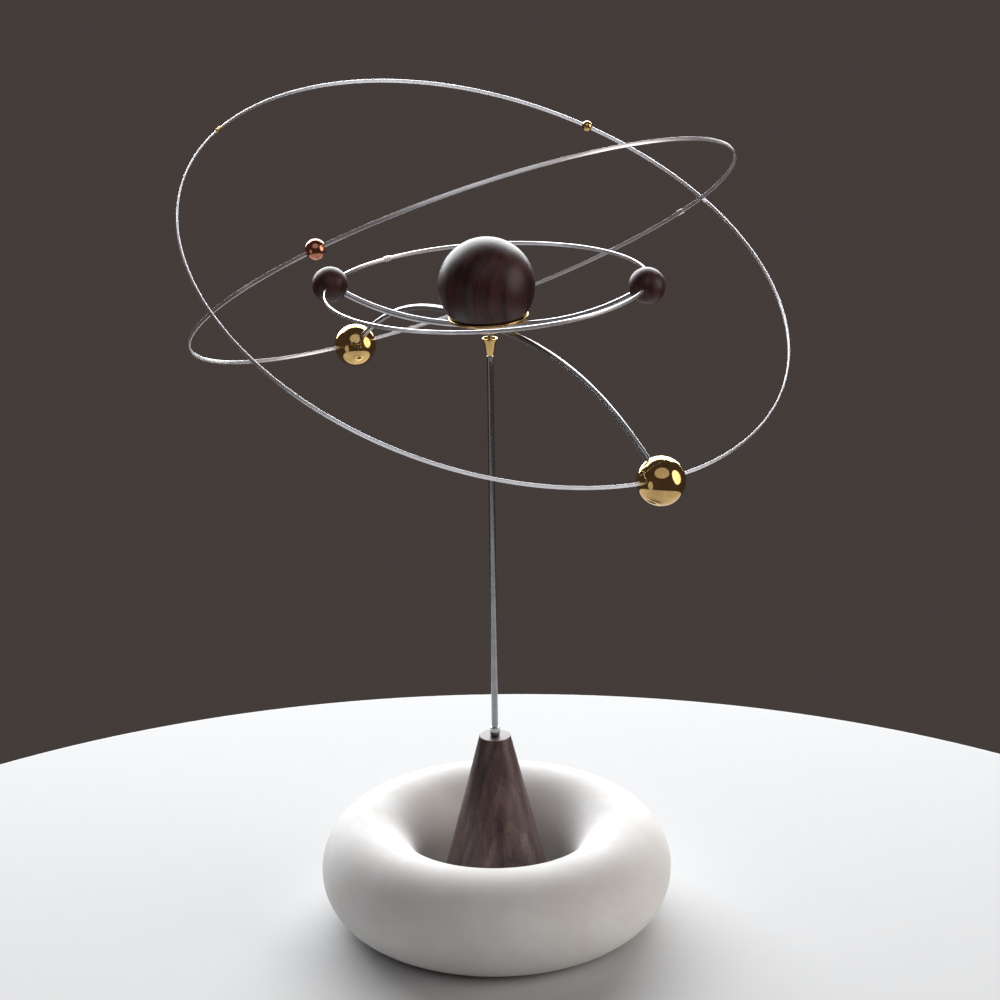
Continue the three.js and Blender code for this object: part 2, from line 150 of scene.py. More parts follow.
class Shader:
    """One procedural material: a Principled shader, and short calls for the nodes that feed it."""

    def __init__(self, name, **values):
        self.material = bpy.data.materials.new(name)
        self.material.use_nodes = True
        self.tree = self.material.node_tree
        self.tree.nodes.clear()
        output = self.tree.nodes.new("ShaderNodeOutputMaterial")
        self.principled = self.tree.nodes.new("ShaderNodeBsdfPrincipled")
        self.tree.links.new(self.principled.outputs[0], output.inputs["Surface"])
        self.set(self.principled, values)

    def set(self, node, values):
        for key, value in values.items():
            socket = node.inputs[key]
            if isinstance(value, bpy.types.NodeSocket):
                self.tree.links.new(value, socket)
            else:
                socket.default_value = value

    def node(self, kind, values=None, **settings):
        node = self.tree.nodes.new("ShaderNode" + kind)
        for key, value in settings.items():
            setattr(node, key, value)
        self.set(node, values or {})
        return node

    def place(self, scale, rotation=(0, 0, 0), location=(0, 0, 0), source=None):
        """Object coordinates in metres, or another vector, scaled, turned and moved."""
        source = source or self.node("TexCoord").outputs["Object"]
        values = {"Vector": source, "Scale": scale, "Rotation": rotation, "Location": location}
        return self.node("Mapping", values).outputs["Vector"]

    def noise(self, vector, scale=1.0, detail=3.0, roughness=0.5, distortion=0.0):
        values = {"Vector": vector, "Scale": scale, "Detail": detail}
        values.update({"Roughness": roughness, "Distortion": distortion})
        return self.node("TexNoise", values).outputs["Fac"]

    def math(self, operation, a, b=0.0):
        return self.node("Math", {0: a, 1: b}, operation=operation).outputs[0]

    def span(self, value, low, high, to_low=0.0, to_high=1.0):
        """value from low..high to to_low..to_high, clamped."""
        values = {"Value": value, "From Min": low, "From Max": high}
        values.update({"To Min": to_low, "To Max": to_high})
        return self.node("MapRange", values).outputs["Result"]

    def ramp(self, value, stops):
        node = self.node("ValToRGB", {"Fac": value})
        elements = node.color_ramp.elements
        while len(elements) < len(stops):
            elements.new(0.5)
        for element, (position, colour) in zip(elements, stops):
            element.position = position
            element.color = (*colour, 1)
        return node.outputs["Color"]

    def mix(self, factor, a, b, blend="MIX"):
        node = self.node("Mix", data_type="RGBA", blend_type=blend)
        for socket, value in ((node.inputs[0], factor), (node.inputs[6], a), (node.inputs[7], b)):
            if isinstance(value, bpy.types.NodeSocket):
                self.tree.links.new(value, socket)
            elif isinstance(value, tuple):
                socket.default_value = (*value, 1)
            else:
                socket.default_value = value
        return node.outputs[2]

    def bump(self, height, depth_mm, strength):
        values = {"Height": height, "Distance": depth_mm * MM, "Strength": strength}
        return self.node("Bump", values).outputs["Normal"]

    def finish(self, **values):
        self.set(self.principled, values)
        return self.material


RING_WANDER = 2.5
WALNUT_SHADES = (
    (0.05, (0.205, 0.108, 0.066)),
    (0.38, (0.118, 0.054, 0.034)),
    (0.7, (0.062, 0.025, 0.018)),
    (0.98, (0.027, 0.0105, 0.0095)),
)


def walnut(name, centre, turn, pith, spacing, tone, sheen, figure=1.0):
    """Oiled walnut.

    centre is the piece's middle in mm, turn sets its grain (Z along it), pith is where the heart lies.
    """
    s = Shader(name, **{"IOR": 1.5, "Specular IOR Level": 0.25, "Coat Weight": sheen, "Coat Roughness": 0.34})
    about_x, about_y, about_z = (Matrix.Rotation(angle, 3, axis) for angle, axis in zip(turn, "XYZ"))
    rotation = about_z @ about_y @ about_x
    offset = Vector(pith) - rotation @ Vector(centre)
    mm = s.place((1 / MM,) * 3, rotation.to_euler(), offset)
    wander = s.noise(s.place((0.03, 0.03, 0.009), source=mm), detail=2.0)
    across = s.node("VectorMath", {0: mm, 1: (1, 1, 0)}, operation="MULTIPLY").outputs[0]
    radius = s.node("VectorMath", {0: across}, operation="LENGTH").outputs["Value"]
    radius = s.math("ADD", radius, s.span(wander, 0.2, 0.8, -RING_WANDER, RING_WANDER))
    ripple = s.noise(s.place((0.35, 0.35, 0.03), source=mm), detail=3.0)
    radius = s.math("ADD", radius, s.span(ripple, 0.3, 0.7, -0.45, 0.45))
    ring = s.math("FRACT", s.math("DIVIDE", radius, spacing))
    # Late wood darkens slowly outward and ends at a sharp line.
    late = s.node("FloatCurve", {"Value": ring})
    curve = late.mapping.curves[0]
    curve.points[0].location = (0.0, 0.75)
    curve.points[1].location = (1.0, 0.95)
    curve.points.new(0.12, 0.12)
    curve.points.new(0.55, 0.22)
    curve.points.new(0.85, 0.6)
    late.mapping.update()
    fibre = s.noise(s.place((2.6, 2.6, 0.07), source=mm), detail=4.0, roughness=0.65)
    streak = s.noise(s.place((0.22, 0.22, 0.012), source=mm), detail=3.0, roughness=0.55)
    shade = s.math("MULTIPLY", late.outputs["Value"], 0.42 * figure)
    shade = s.math("ADD", shade, s.span(streak, 0.3, 0.7, 0.0, 0.62))
    shade = s.math("ADD", shade, s.span(fibre, 0.32, 0.68, -0.16, 0.2))
    stops = [(position, tuple(t * c for t, c in zip(tone, colour))) for position, colour in WALNUT_SHADES]
    colour = s.ramp(shade, stops)
    warmth = s.noise(s.place((0.05, 0.05, 0.01), source=mm), detail=1.0)
    colour = s.mix(s.span(warmth, 0.35, 0.65, 0.0, 0.35), colour, (0.62, 0.42, 0.55), "MULTIPLY")
    # Pores are short open dashes along the grain.
    cells = s.place((2.1, 2.1, 0.3), source=mm)
    pores = s.node("TexVoronoi", {"Vector": cells, "Scale": 1.0, "Randomness": 1.0}, feature="F1")
    open_pore = s.span(pores.outputs["Distance"], 0.1, 0.2, 1.0, 0.0)
    patch = s.span(s.noise(s.place((0.5, 0.5, 0.05), source=mm), detail=1.0), 0.42, 0.6)
    open_pore = s.math("MULTIPLY", open_pore, patch)
    colour = s.mix(s.math("MULTIPLY", open_pore, 0.7), colour, (0.012, 0.006, 0.005))
    height = s.math("SUBTRACT", s.math("MULTIPLY", fibre, 0.35), open_pore)
    normal = s.bump(height, 0.05, 0.6)
    roughness = s.math("ADD", s.span(shade, 0.1, 0.9, 0.5, 0.4), s.math("MULTIPLY", open_pore, 0.3))
    return s.finish(**{"Base Color": colour, "Roughness": roughness, "Normal": normal})


def plaster():
    """Matt cast plaster with faint mottling, a fine tooth and a few pinholes, darkened inside as painted shade."""
    s = Shader("white_plaster", **{"IOR": 1.5, "Specular IOR Level": 0.35})
    mm = s.place((1 / MM,) * 3)
    mottle = s.noise(mm, 0.045, 4.0, 0.6)
    tooth = s.noise(mm, 1.9, 4.0, 0.6)
    swirl = s.noise(mm, 0.16, 2.0, 0.5, 0.6)
    holes = s.node("TexVoronoi", {"Vector": mm, "Scale": 0.16, "Randomness": 1.0}, feature="F1")
    pin = s.span(holes.outputs["Distance"], 0.025, 0.045, 1.0, 0.0)
    colour = s.mix(s.span(mottle, 0.35, 0.65), (0.80, 0.785, 0.765), (0.86, 0.853, 0.84))
    # Pinholes are painted darker: painted shade inside the holes.
    colour = s.mix(s.math("MULTIPLY", pin, 0.55), colour, (0.45, 0.42, 0.39))
    height = s.math("ADD", s.math("MULTIPLY", tooth, 0.35), s.math("MULTIPLY", swirl, 0.65))
    height = s.math("SUBTRACT", height, pin)
    roughness = s.span(s.noise(mm, 0.3, 3.0), 0.35, 0.65, 0.62, 0.78)
    return s.finish(**{"Base Color": colour, "Roughness": roughness, "Normal": s.bump(height, 0.06, 0.5)})


def felt():
    s = Shader("grey_felt", **{"Sheen Weight": 0.4, "Sheen Roughness": 0.5, "Specular IOR Level": 0.15})
    mm = s.place((1 / MM,) * 3)
    fibres = s.noise(mm, 3.2, 5.0, 0.7, 1.5)
    clumps = s.noise(mm, 0.5, 2.0)
    colour = s.mix(s.span(fibres, 0.3, 0.7), (0.028, 0.028, 0.032), (0.085, 0.085, 0.092))
    colour = s.mix(s.span(clumps, 0.3, 0.7, 0.0, 0.4), colour, (0.05, 0.048, 0.05))
    roughness = s.span(fibres, 0.3, 0.7, 0.85, 1.0)
    return s.finish(**{"Base Color": colour, "Roughness": roughness, "Normal": s.bump(fibres, 0.2, 0.9)})


SCRATCH_DEPTH = 0.004


def metal(name, clean, dull, rough, stretch, grain, cloud=0.12):
    """Polished metal: clean and dull colours in clouds.

    Roughness runs from rough[0] to rough[1], and stretch draws the scratches out.
    """
    s = Shader(name, Metallic=1.0)
    mm = s.place((1 / MM,) * 3)
    clouds = s.noise(mm, cloud, 3.0, 0.55, 0.4)
    lines = s.noise(s.place(stretch, source=mm), 1.0, 4.0, 0.7)
    smudge = s.span(clouds, 0.42, 0.7)
    colour = s.mix(smudge, clean, dull)
    low, high = rough
    roughness = s.math("ADD", s.span(clouds, 0.35, 0.7, low, high), s.span(lines, 0.35, 0.7, 0.0, 0.05 * grain))
    normal = s.bump(lines, SCRATCH_DEPTH, 0.35 * grain)
    return s.finish(**{"Base Color": colour, "Roughness": roughness, "Normal": normal})


def drawn_strip(name, place, clean, dull, rough):
    """Flat steel strip, drawn, so its fine lines run along the hoop. place is the hoop's frame in mm."""
    s = Shader(name, Metallic=1.0)
    inverse = place.inverted()
    mm = s.place((1 / MM,) * 3, inverse.to_euler(), inverse.translation)
    across = s.node("VectorMath", {0: mm, 1: (1, 1, 0)}, operation="MULTIPLY").outputs[0]
    radius = s.node("VectorMath", {0: across}, operation="LENGTH").outputs["Value"]
    height = s.node("SeparateXYZ", {0: mm}).outputs["Z"]
    clouds = s.noise(mm, 0.09, 3.0, 0.55, 0.4)
    drift = s.noise(mm, 0.05, 1.0)
    lines = s.node("CombineXYZ", {0: s.math("MULTIPLY", radius, 7.0), 1: s.math("MULTIPLY", height, 7.0), 2: drift})
    lines = s.noise(lines.outputs[0], 1.0, 3.0, 0.6)
    colour = s.mix(s.span(clouds, 0.42, 0.7), clean, dull)
    roughness = s.math("ADD", s.span(clouds, 0.35, 0.7, *rough), s.span(lines, 0.35, 0.7, 0.0, 0.06))
    return s.finish(**{"Base Color": colour, "Roughness": roughness, "Normal": s.bump(lines, 0.002, 0.2)})


STEEL = ((0.56, 0.565, 0.59), (0.46, 0.465, 0.48))
# Rod steel is darker than the arms' steel: painted shade, its base colour darkened to stand in for the dark room
# the rod reflects.
ROD_STEEL_PAINTED_SHADE = ((0.38, 0.385, 0.40), (0.30, 0.305, 0.32))
# Strip steel is brighter than real steel and faintly lavender: painted light, standing in for the light the hoops
# and steel sleeves catch.
STRIP_STEEL_PAINTED_LIGHT = ((0.93, 0.925, 0.96), (0.84, 0.84, 0.88))
BRASS = ((0.76, 0.52, 0.215), (0.54, 0.33, 0.12))
COPPER = ((0.70, 0.30, 0.19), (0.44, 0.16, 0.1))

plaster_look = plaster()
felt_look = felt()
rod_look = metal("steel_drawn_rod", *ROD_STEEL_PAINTED_SHADE, (0.14, 0.2), (2.0, 2.0, 0.05), grain=0.4)
arm_look = metal("steel_polished_arm", *STEEL, (0.28, 0.33), (1.2, 1.2, 1.2), grain=0.15)
small_steel_look = metal("steel_small_parts", *STEEL, (0.16, 0.28), (1.0, 1.0, 6.0), grain=0.8)
steel_sleeve_look = metal("steel_crimped_sleeve", *STRIP_STEEL_PAINTED_LIGHT, (0.3, 0.36), (1.0, 1.0, 6.0), grain=0.5)
ball_brass_look = metal("brass_polished_ball", *BRASS, (0.035, 0.13), (1.5, 1.5, 6.0), grain=0.35, cloud=0.14)
turned_brass_look = metal("brass_turned", *BRASS, (0.13, 0.26), (0.4, 0.4, 9.0), grain=0.9)
copper_look = metal("copper_polished", *COPPER, (0.05, 0.17), (1.5, 1.5, 6.0), grain=0.35, cloud=0.3)

# ---- Mesh helpers, in millimetres ----


def mesh_from(points, faces):
    mesh = bpy.data.meshes.new("made")
    mesh.from_pydata([tuple(p) for p in points], [], faces)
    mesh.validate(clean_customdata=False)
    return mesh


SHARP_DEGREES = 32
MERGE_DISTANCE = 1e-7


def put(name, mesh, body, look, nodes, place=None, normals=None):
    """Makes the object in metres, shades it, parents it to its body's empty and hides the CAD nodes it replaces."""
    if place is not None:
        mesh.transform(place)
    mesh.transform(Matrix.Scale(MM, 4))
    model = bmesh.new()
    model.from_mesh(mesh)
    bmesh.ops.remove_doubles(model, verts=model.verts, dist=MERGE_DISTANCE)
    bmesh.ops.recalc_face_normals(model, faces=model.faces)
    for edge in model.edges:
        faces = edge.link_faces
        edge.smooth = len(faces) == 2 and faces[0].normal.angle(faces[1].normal, 0) < math.radians(SHARP_DEGREES)
    for face in model.faces:
        face.smooth = True
    model.to_mesh(mesh)
    model.free()
    mesh.name = name
    obj = bpy.data.objects.new(name, mesh)
    bpy.context.scene.collection.objects.link(obj)
    mesh.materials.append(look)
    if normals is not None:
        mesh.normals_split_custom_set(normals(mesh))
    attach(obj, body)
    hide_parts(*nodes)
    return obj


def eased(profile, steps=5):
    """Rounds the corners of a profile of (radius, height) or (radius, height, fillet) points."""
    made = []
    count = len(profile)
    closed = profile[0][:2] == profile[-1][:2]
    for i, corner in enumerate(profile):
        here = Vector(corner[:2])
        fillet = corner[2] if len(corner) > 2 else 0
        inside = 0 < i < count - 1
        if fillet == 0 or not (inside or closed):
            made.append(here)
            continue
        before = Vector(profile[i - 1][:2]) if i > 0 else Vector(profile[-2][:2])
        after = Vector(profile[i + 1][:2]) if i < count - 1 else Vector(profile[1][:2])
        back, on = (before - here).normalized(), (after - here).normalized()
        half = back.angle(on) / 2
        cut = min(fillet / math.tan(half), 0.48 * (before - here).length, 0.48 * (after - here).length)
        radius = cut * math.tan(half)
        centre = here + (back + on).normalized() * (radius / math.sin(half))
        start, end = here + back * cut - centre, here + on * cut - centre
        sweep = start.angle_signed(end)
        for k in range(steps + 1):
            made.append(centre + Matrix.Rotation(-sweep * k / steps, 2) @ start)
    if closed:
        made[-1] = made[0]
    return [(p.x, p.y) for p in made]


def lathe(profile, segments):
    """A closed surface of revolution about Z. The profile ends on the axis at both ends, or closes on itself."""
    closed = max(abs(profile[0][0] - profile[-1][0]), abs(profile[0][1] - profile[-1][1])) < 1e-9
    rows = profile[:-1] if closed else profile
    points, index = [], []
    for radius, height in rows:
        if radius < 1e-6:
            index.append([len(points)] * segments)
            points.append((0, 0, height))
            continue
        index.append(list(range(len(points), len(points) + segments)))
        for k in range(segments):
            angle = 2 * math.pi * k / segments
            points.append((radius * math.cos(angle), radius * math.sin(angle), height))
    faces = []
    pairs = zip(index, index[1:] + index[:1]) if closed else zip(index, index[1:])
    for low, high in pairs:
        for k in range(segments):
            n = (k + 1) % segments
            corners = [low[k], low[n], high[n], high[k]]
            corners = [c for j, c in enumerate(corners) if c != corners[j - 1]]
            if len(corners) > 2:
                faces.append(corners)
    return mesh_from(points, faces)


def swept(section, frames, closed=False):
    """Section points (x, y) carried along a list of 4x4 frames, with ends closed unless the path is a loop."""
    count = len(section)
    points = [place @ Vector((x, y, 0)) for place in frames for x, y in section]
    faces = []
    for i in range(len(frames) if closed else len(frames) - 1):
        j = (i + 1) % len(frames)
        for k in range(count):
            n = (k + 1) % count
            faces.append([i * count + k, i * count + n, j * count + n, j * count + k])
    if not closed:
        faces.append(list(range(count))[::-1])
        faces.append([(len(frames) - 1) * count + k for k in range(count)])
    return mesh_from(points, faces)


def circle(radius, corners):
    angles = [2 * math.pi * k / corners for k in range(corners)]
    return [(radius * math.cos(angle), radius * math.sin(angle)) for angle in angles]


def rounded_rectangle(half_x, half_y, corner, steps=4):
    points = []
    for quarter, (sx, sy) in enumerate(((1, 1), (-1, 1), (-1, -1), (1, -1))):
        for k in range(steps + 1):
            angle = (quarter + k / steps) * math.pi / 2
            x = sx * (half_x - corner) + corner * math.cos(angle)
            points.append((x, sy * (half_y - corner) + corner * math.sin(angle)))
    return points


def scene_object(mesh):
    obj = bpy.data.objects.new("tool", mesh)
    bpy.context.scene.collection.objects.link(obj)
    return obj


def carved(mesh, tools):
    """mesh with the tools cut out of it."""
    body = scene_object(mesh)
    cutters = [scene_object(tool) for tool in tools]
    for cutter in cutters:
        step = body.modifiers.new("cut", "BOOLEAN")
        step.operation = "DIFFERENCE"
        step.solver = "EXACT"
        step.object = cutter
    bpy.context.view_layer.update()
    graph = bpy.context.evaluated_depsgraph_get()
    result = bpy.data.meshes.new_from_object(body.evaluated_get(graph), depsgraph=graph)
    for obj in [body, *cutters]:
        bpy.data.objects.remove(obj)
    return result


def sphere(radius, centre, detail):
    model = bmesh.new()
    bmesh.ops.create_icosphere(model, subdivisions=detail, radius=radius, matrix=Matrix.Translation(centre))
    mesh = bpy.data.meshes.new("sphere")
    model.to_mesh(mesh)
    model.free()
    return mesh


ON_BALL = 0.985


def ball_normals(centre_mm, radius_mm, place):
    """True sphere normals on the ball's surface, and each face's own normal in its cuts."""
    centre = (place @ Vector(centre_mm)) * MM
    radius = radius_mm * MM

    def normals(mesh):
        result = []
        for face in mesh.polygons:
            out = (face.center - centre).normalized()
            on_ball = face.normal.dot(out) > ON_BALL and (face.center - centre).length > ON_BALL * radius
            for corner in face.loop_indices:
                point = mesh.vertices[mesh.loops[corner].vertex_index].co
                result.append(tuple((point - centre).normalized() if on_ball else face.normal))
        return result

    return normals


def direction(degrees, rise_degrees=0.0):
    turn, rise = math.radians(degrees), math.radians(rise_degrees)
    return Vector((math.cos(rise) * math.cos(turn), math.cos(rise) * math.sin(turn), math.sin(rise)))


def basis(x, y, z, centre):
    place = Matrix((x, y, z)).transposed().to_4x4()
    place.translation = centre
    return place


# ---- Base ----

ellipse_start = math.asin((BASE_UNDERSIDE_Z - RING_CENTRE_Z) / RING_HALF_HEIGHT)
ring_wall = RING_RADIUS - RING_HALF_WIDTH
ring_profile = [(SCREW_HOLE_RADIUS, COUNTERBORE_TOP_Z, 0.2), (COUNTERBORE_RADIUS, COUNTERBORE_TOP_Z, 0.6)]
ring_profile.append((COUNTERBORE_RADIUS, BASE_UNDERSIDE_Z, 0.4))
ELLIPSE_STEPS = 120
for i in range(ELLIPSE_STEPS + 1):
    angle = ellipse_start + (i / ELLIPSE_STEPS) * (math.pi - ellipse_start)
    radius = RING_RADIUS + RING_HALF_WIDTH * math.cos(angle)
    ring_profile.append((radius, RING_CENTRE_Z + RING_HALF_HEIGHT * math.sin(angle)))
ring_profile += [(ring_wall, WEB_TOP_Z, 2.4), (SCREW_HOLE_RADIUS, WEB_TOP_Z, 0.3)]
ring_profile.append(ring_profile[0])
put("white_ring", lathe(eased(ring_profile, 8), 288), "base", plaster_look, ["base_ring"])

felt_profile = [(0, 0), (FELT_RADIUS, 0, 0.2), (FELT_RADIUS, FELT_THICKNESS, 0.3), (0, FELT_THICKNESS)]
felt_disc = lathe(eased(felt_profile, 4), 288)
for vertex in felt_disc.vertices:
    reach = vertex.co.xy.length
    if reach > FELT_RADIUS - 1:
        around = math.atan2(vertex.co.y, vertex.co.x)
        fray = 0.10 * math.sin(41 * around) + 0.07 * math.sin(97 * around + 1.3) - 0.17
        vertex.co.xy *= 1 + fray / reach
felt_piece = put("felt_disc", felt_disc, "base", felt_look, ["felt_pad"])

# ---- Cone, rod and cup ----

cone_profile = [
    (INSERT_RADIUS + GAP, CONE_FOOT_Z, 0.3),
    (CONE_FOOT_RADIUS, CONE_FOOT_Z, 0.5),
    (CONE_TOP_RADIUS, CONE_TOP_Z, 0.35),
    (ROD_RADIUS + GAP, CONE_TOP_Z, 0.12),
    (ROD_RADIUS + GAP, ROD_FOOT_Z - GAP),
    (0, ROD_FOOT_Z - GAP),
    (0, SCREW_TOP_Z + 2),
    (INSERT_RADIUS + GAP, SCREW_TOP_Z + 2),
    (INSERT_RADIUS + GAP, CONE_FOOT_Z, 0.3),
]
cone_look = walnut(
    "walnut_cone_wood", (0, 0, 40), (0.02, -0.02, 0.5), (46, -38, 0),
    spacing=3.6, tone=(0.9, 1.2, 1.75), figure=0.6, sheen=0.3,
)


def with_rows(profile, longest):
    """The profile with long runs split, so that a lathe has rows along them."""
    made = [profile[0]]
    for (r0, z0), (r1, z1) in zip(profile, profile[1:]):
        parts = max(1, round(math.hypot(r1 - r0, z1 - z0) / longest))
        made += [(r0 + (r1 - r0) * k / parts, z0 + (z1 - z0) * k / parts) for k in range(1, parts + 1)]
    return made


put("walnut_cone", lathe(with_rows(eased(cone_profile), 3), 160), "base", cone_look, ["cone"])

ferrule_foot = CONE_TOP_Z + GAP
ferrule_top = ferrule_foot + FERRULE_HEIGHT
ferrule_profile = [
    (ROD_RADIUS + PRESS_FIT, ferrule_foot),
    (FERRULE_RADIUS, ferrule_foot, 0.15),
    (FERRULE_RADIUS, ferrule_top, 0.3),
    (ROD_RADIUS + PRESS_FIT, ferrule_top, 0.05),
    (ROD_RADIUS + PRESS_FIT, ferrule_foot),
]
put("steel_ferrule", lathe(eased(ferrule_profile), 64), "base", small_steel_look, ["rod_ferrule"])

rod_shoulder = CUP_FOOT_Z - GAP
rod_profile = [
    (0, ROD_FOOT_Z),
    (ROD_RADIUS, ROD_FOOT_Z, 0.3),
    (ROD_RADIUS, rod_shoulder, 0.1),
    (SPIGOT_RADIUS, rod_shoulder),
    (SPIGOT_RADIUS, rod_shoulder + SPIGOT_LENGTH, 0.1),
    (0, rod_shoulder + SPIGOT_LENGTH),
]
put("steel_rod", lathe(with_rows(eased(rod_profile), 6), 64), "base", rod_look, ["rod"])

pocket = SEAT_RADIUS + GAP
socket_top = rod_shoulder + SPIGOT_LENGTH + GAP
cup_profile = [
    (0, socket_top),
    (SPIGOT_RADIUS + GAP, socket_top),
    (SPIGOT_RADIUS + GAP, CUP_FOOT_Z, 0.08),
    (CUP_FOOT_RADIUS, CUP_FOOT_Z, 0.2),
    (CUP_RIM_RADIUS - 0.3, CUP_RIM_Z - 1.0, 0.5),
    (CUP_RIM_RADIUS, CUP_RIM_Z - 0.5, 0.2),
    (CUP_RIM_RADIUS, CUP_RIM_Z, 0.18),
    (CUP_MOUTH_RADIUS, CUP_RIM_Z, 0.12),
]
CUP_STEPS = 16
for i in range(CUP_STEPS + 1):
    angle = (i / CUP_STEPS) * (math.pi / 2)
    cup_profile.append((pocket * math.cos(angle), PIVOT_Z - pocket * math.sin(angle)))
cup_profile[-1] = (0, cup_profile[-1][1])
put("brass_cup", lathe(eased(cup_profile), 96), "base", turned_brass_look, ["bearing_cup"])

SEAT_STEPS = 24
SEAT_RIM_HEIGHT = 0.5
seat_profile = []
seat_rim = math.asin(SEAT_RIM_HEIGHT / SEAT_RADIUS)
for i in range(SEAT_STEPS + 1):
    angle = -math.pi / 2 + (i / SEAT_STEPS) * (seat_rim + math.pi / 2)
    seat_profile.append((SEAT_RADIUS * math.cos(angle), SEAT_RADIUS * math.sin(angle)))
seat_profile[0] = (0, seat_profile[0][1])
seat_profile += [(0.85, SEAT_RIM_HEIGHT), (0.12, -0.29), (0, -0.35)]
put("steel_seat", lathe(seat_profile, 64), "seat", small_steel_look, ["pivot_seat"],
    Matrix.Translation(pivot))

needle_profile = [
    (0, 0.05),
    (0.1, 0.05, 0.03),
    (NEEDLE_RADIUS, 1.95, 0.25),
    (NEEDLE_RADIUS, NEEDLE_TOP, 0.15),
    (0, NEEDLE_TOP),
]
put("steel_needle", lathe(eased(needle_profile), 64), "needle", small_steel_look, ["needle"], ON_PIVOT)

# ---- Arms ----


def arm_point(spec, along):
    rise = (spec["height"] - ARM_HEIGHT) * (along / spec["reach"]) ** spec["power"]
    return direction(spec["bearing"]) * along + UP * (ARM_HEIGHT + rise)


def arm_frames(spec, start, end, steps):
    """Frames square to the arm, whose X stays level."""
    side = UP.cross(direction(spec["bearing"]))
    frames = []
    for i in range(steps + 1):
        along = start + (end - start) * i / steps
        ahead = (arm_point(spec, along + 0.01) - arm_point(spec, along - 0.01)).normalized()
        frames.append(basis(side, ahead.cross(side), ahead, arm_point(spec, along)))
    return frames


def arm_mesh(spec, radius, start, end, steps, corners=32):
    return swept(circle(radius, corners), arm_frames(spec, start, end, steps))


ARM_STEPS = 96
ARM_CORNERS = 80

moon_arm = {"reach": MOON_REACH, "height": MOON_HEIGHT, "power": MOON_ARM_CURVE}
ARMS = {
    "moon_left": {**moon_arm, "bearing": MOON_DIRECTION_DEGREES + 180},
    "moon_right": {**moon_arm, "bearing": MOON_DIRECTION_DEGREES},
    "weight_far": {**FAR_WEIGHT, "power": WEIGHT_ARM_CURVE},
    "weight_near": {**NEAR_WEIGHT, "power": WEIGHT_ARM_CURVE},
}
for name, spec in ARMS.items():
    end = spec["reach"] - ARM_END_SHORT_OF_CENTRE
    rod = arm_mesh(spec, ARM_RADIUS, ARM_INNER_REACH, end, ARM_STEPS, ARM_CORNERS)
    put(f"steel_arm_{name}", rod, "mobile", arm_look, [f"arm_{name}"], ON_PIVOT)

# ---- Hub and sun ----

hub_profile = [
    (NEEDLE_RADIUS + NEEDLE_CLEARANCE, BOSS_FOOT, 0.15),
    (BOSS_RADIUS, BOSS_FOOT, 0.5),
    (BOSS_RADIUS, DISC_FOOT, 0.7),
    (DISC_RADIUS, DISC_FOOT, 0.35),
    (DISC_RADIUS, DISC_TOP, 0.3),
    (HUB_SPIGOT_RADIUS, DISC_TOP),
    (HUB_SPIGOT_RADIUS, SPIGOT_TOP, 0.3),
    (0, SPIGOT_TOP),
    (0, NEEDLE_TOP + NEEDLE_CLEARANCE),
    (NEEDLE_RADIUS + NEEDLE_CLEARANCE, NEEDLE_TOP + NEEDLE_CLEARANCE),
    (NEEDLE_RADIUS + NEEDLE_CLEARANCE, BOSS_FOOT, 0.15),
]


COUNTERSINK_RADIUS = 2.3
SCREW_HOLE_IN_DISC_RADIUS = 1.25
HUB_SCREW_HEAD_RADIUS = 1.95
HUB_SCREW_SHANK_RADIUS = 0.9
HUB_SCREW_POINT_LENGTH = 1.5
HEX_SOCKET_RADIUS = 0.85
PILOT_HOLE_RADIUS = 1.2


def countersink(reach):
    profile = [
        (0, DISC_FOOT - 1),
        (COUNTERSINK_RADIUS, DISC_FOOT - 1),
        (COUNTERSINK_RADIUS, DISC_FOOT + 0.2),
        (SCREW_HOLE_IN_DISC_RADIUS, DISC_TOP + 0.05),
        (SCREW_HOLE_IN_DISC_RADIUS, DISC_TOP + 1),
        (0, DISC_TOP + 1),
    ]
    mesh = lathe(profile, 48)
    mesh.transform(Matrix.Translation((reach, 0, 0)))
    return mesh


sockets = [
    arm_mesh(spec, ARM_RADIUS + PRESS_FIT, ARM_INNER_REACH - 0.3, BOSS_RADIUS + 2, 4) for spec in ARMS.values()
]
hub_screws = {"right": HUB_SCREW_REACH, "left": -HUB_SCREW_REACH}
hub = carved(lathe(eased(hub_profile), 160), sockets + [countersink(reach) for reach in hub_screws.values()])
put("brass_hub", hub, "mobile", turned_brass_look, ["hub"], ON_PIVOT)

for side, reach in hub_screws.items():
    profile = [
        (0, DISC_FOOT + 0.1),
        (HUB_SCREW_HEAD_RADIUS, DISC_FOOT + 0.1, 0.08),
        (HUB_SCREW_SHANK_RADIUS, DISC_TOP),
        (HUB_SCREW_SHANK_RADIUS, DISC_TOP + HUB_SCREW_LENGTH - HUB_SCREW_POINT_LENGTH),
        (0, DISC_TOP + HUB_SCREW_LENGTH),
    ]
    hexagon = lathe([
        (0, DISC_FOOT - 1),
        (HEX_SOCKET_RADIUS, DISC_FOOT - 1),
        (HEX_SOCKET_RADIUS, DISC_FOOT + 0.75),
        (0, DISC_FOOT + 0.95),
    ], 6)
    screw = carved(lathe(eased(profile), 48), [hexagon])
    screw.transform(Matrix.Translation((reach, 0, 0)))
    put(f"steel_hub_screw_{side}", screw, "mobile", small_steel_look, [f"hub_screw_{side}"], ON_PIVOT)

sun_start = math.asin((SUN_FOOT - SUN_HEIGHT) / SUN_RADIUS)
bore = HUB_SPIGOT_RADIUS + GAP
sun_profile = [(0, SPIGOT_TOP + GAP), (bore, SPIGOT_TOP + GAP), (bore, SUN_FOOT, 0.2)]
SUN_STEPS = 110
for i in range(SUN_STEPS + 1):
    angle = sun_start + (i / SUN_STEPS) * (math.pi / 2 - sun_start)
    point = (SUN_RADIUS * math.cos(angle), SUN_HEIGHT + SUN_RADIUS * math.sin(angle))
    sun_profile.append((*point, 0.25) if i == 0 else point)
sun_profile[-1] = (0, sun_profile[-1][1])


